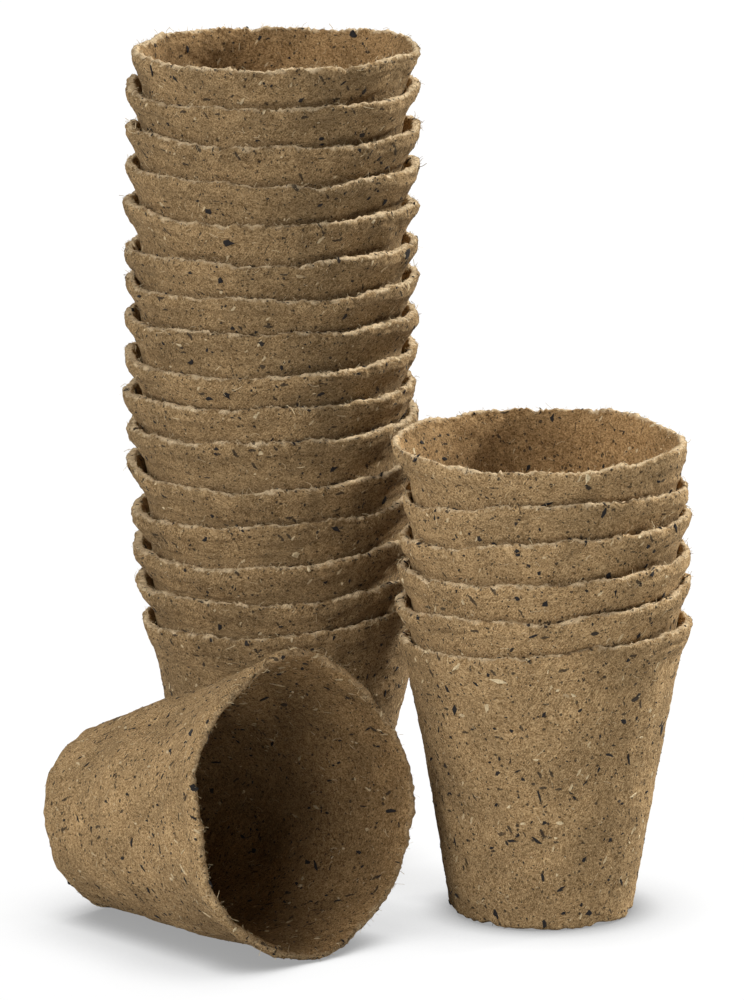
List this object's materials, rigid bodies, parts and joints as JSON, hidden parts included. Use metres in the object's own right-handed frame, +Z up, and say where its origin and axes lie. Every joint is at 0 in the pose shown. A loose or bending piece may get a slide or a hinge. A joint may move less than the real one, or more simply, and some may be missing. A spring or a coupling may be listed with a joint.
{
  "type": "peat pot set",
  "caption": "Round tapered moulded-fibre seedling pots, nested in a tall and a short stack, with one lying on its side in front.",
  "frame": {"origin": "centre of the tall stack's foot, on the table", "axes": "+Z up; +X to the viewer's right and +Y away from the viewer in the picture"},
  "size_m": [0.1764, 0.1607, 0.2338],
  "materials": {
    "peat_fibre": "matt, rough moulded peat and wood fibre"
  },
  "bodies": {
    "tall_stack_pot_01": {"tall_stack_pot_01": "peat_fibre"},
    "tall_stack_pot_02": {"tall_stack_pot_02": "peat_fibre"},
    "tall_stack_pot_03": {"tall_stack_pot_03": "peat_fibre"},
    "tall_stack_pot_04": {"tall_stack_pot_04": "peat_fibre"},
    "tall_stack_pot_05": {"tall_stack_pot_05": "peat_fibre"},
    "tall_stack_pot_06": {"tall_stack_pot_06": "peat_fibre"},
    "tall_stack_pot_07": {"tall_stack_pot_07": "peat_fibre"},
    "tall_stack_pot_08": {"tall_stack_pot_08": "peat_fibre"},
    "tall_stack_pot_09": {"tall_stack_pot_09": "peat_fibre"},
    "tall_stack_pot_10": {"tall_stack_pot_10": "peat_fibre"},
    "tall_stack_pot_11": {"tall_stack_pot_11": "peat_fibre"},
    "tall_stack_pot_12": {"tall_stack_pot_12": "peat_fibre"},
    "tall_stack_pot_13": {"tall_stack_pot_13": "peat_fibre"},
    "tall_stack_pot_14": {"tall_stack_pot_14": "peat_fibre"},
    "tall_stack_pot_15": {"tall_stack_pot_15": "peat_fibre"},
    "tall_stack_pot_16": {"tall_stack_pot_16": "peat_fibre"},
    "short_stack_pot_1": {"short_stack_pot_1": "peat_fibre"},
    "short_stack_pot_2": {"short_stack_pot_2": "peat_fibre"},
    "short_stack_pot_3": {"short_stack_pot_3": "peat_fibre"},
    "short_stack_pot_4": {"short_stack_pot_4": "peat_fibre"},
    "short_stack_pot_5": {"short_stack_pot_5": "peat_fibre"},
    "short_stack_pot_6": {"short_stack_pot_6": "peat_fibre"},
    "loose_pot": {"loose_pot": "peat_fibre"}
  },
  "joints": [
    {"name": "tall_stack_pot_02_lift", "type": "slide", "parent": "tall_stack_pot_01", "child": "tall_stack_pot_02", "axis": [0, 0, 1], "range_m": [0, 0.08]},
    {"name": "tall_stack_pot_03_lift", "type": "slide", "parent": "tall_stack_pot_02", "child": "tall_stack_pot_03", "axis": [0, 0, 1], "range_m": [0, 0.08]},
    {"name": "tall_stack_pot_04_lift", "type": "slide", "parent": "tall_stack_pot_03", "child": "tall_stack_pot_04", "axis": [0, 0, 1], "range_m": [0, 0.08]},
    {"name": "tall_stack_pot_05_lift", "type": "slide", "parent": "tall_stack_pot_04", "child": "tall_stack_pot_05", "axis": [0, 0, 1], "range_m": [0, 0.08]},
    {"name": "tall_stack_pot_06_lift", "type": "slide", "parent": "tall_stack_pot_05", "child": "tall_stack_pot_06", "axis": [0, 0, 1], "range_m": [0, 0.08]},
    {"name": "tall_stack_pot_07_lift", "type": "slide", "parent": "tall_stack_pot_06", "child": "tall_stack_pot_07", "axis": [0, 0, 1], "range_m": [0, 0.08]},
    {"name": "tall_stack_pot_08_lift", "type": "slide", "parent": "tall_stack_pot_07", "child": "tall_stack_pot_08", "axis": [0, 0, 1], "range_m": [0, 0.08]},
    {"name": "tall_stack_pot_09_lift", "type": "slide", "parent": "tall_stack_pot_08", "child": "tall_stack_pot_09", "axis": [0, 0, 1], "range_m": [0, 0.08]},
    {"name": "tall_stack_pot_10_lift", "type": "slide", "parent": "tall_stack_pot_09", "child": "tall_stack_pot_10", "axis": [0, 0, 1], "range_m": [0, 0.08]},
    {"name": "tall_stack_pot_11_lift", "type": "slide", "parent": "tall_stack_pot_10", "child": "tall_stack_pot_11", "axis": [0, 0, 1], "range_m": [0, 0.08]},
    {"name": "tall_stack_pot_12_lift", "type": "slide", "parent": "tall_stack_pot_11", "child": "tall_stack_pot_12", "axis": [0, 0, 1], "range_m": [0, 0.08]},
    {"name": "tall_stack_pot_13_lift", "type": "slide", "parent": "tall_stack_pot_12", "child": "tall_stack_pot_13", "axis": [0, 0, 1], "range_m": [0, 0.08]},
    {"name": "tall_stack_pot_14_lift", "type": "slide", "parent": "tall_stack_pot_13", "child": "tall_stack_pot_14", "axis": [0, 0, 1], "range_m": [0, 0.08]},
    {"name": "tall_stack_pot_15_lift", "type": "slide", "parent": "tall_stack_pot_14", "child": "tall_stack_pot_15", "axis": [0, 0, 1], "range_m": [0, 0.08]},
    {"name": "tall_stack_pot_16_lift", "type": "slide", "parent": "tall_stack_pot_15", "child": "tall_stack_pot_16", "axis": [0, 0, 1], "range_m": [0, 0.08]},
    {"name": "short_stack_pot_2_lift", "type": "slide", "parent": "short_stack_pot_1", "child": "short_stack_pot_2", "axis": [0, 0, 1], "range_m": [0, 0.08]},
    {"name": "short_stack_pot_3_lift", "type": "slide", "parent": "short_stack_pot_2", "child": "short_stack_pot_3", "axis": [0, 0, 1], "range_m": [0, 0.08]},
    {"name": "short_stack_pot_4_lift", "type": "slide", "parent": "short_stack_pot_3", "child": "short_stack_pot_4", "axis": [0, 0, 1], "range_m": [0, 0.08]},
    {"name": "short_stack_pot_5_lift", "type": "slide", "parent": "short_stack_pot_4", "child": "short_stack_pot_5", "axis": [0, 0, 1], "range_m": [0, 0.08]},
    {"name": "short_stack_pot_6_lift", "type": "slide", "parent": "short_stack_pot_5", "child": "short_stack_pot_6", "axis": [0, 0, 1], "range_m": [0, 0.08]},
    {"name": "short_stack_slide", "type": "slide", "parent": "tall_stack_pot_01", "child": "short_stack_pot_1", "axis": [0.8652, -0.5015, 0], "range_m": [0, 0.1]},
    {"name": "loose_pot_roll", "type": "hinge", "parent": "tall_stack_pot_01", "child": "loose_pot", "pos_m": [-0.13014, 0.05565, 0], "axis": [0, 0, 1], "range_deg": [-60, 0]}
  ]
}
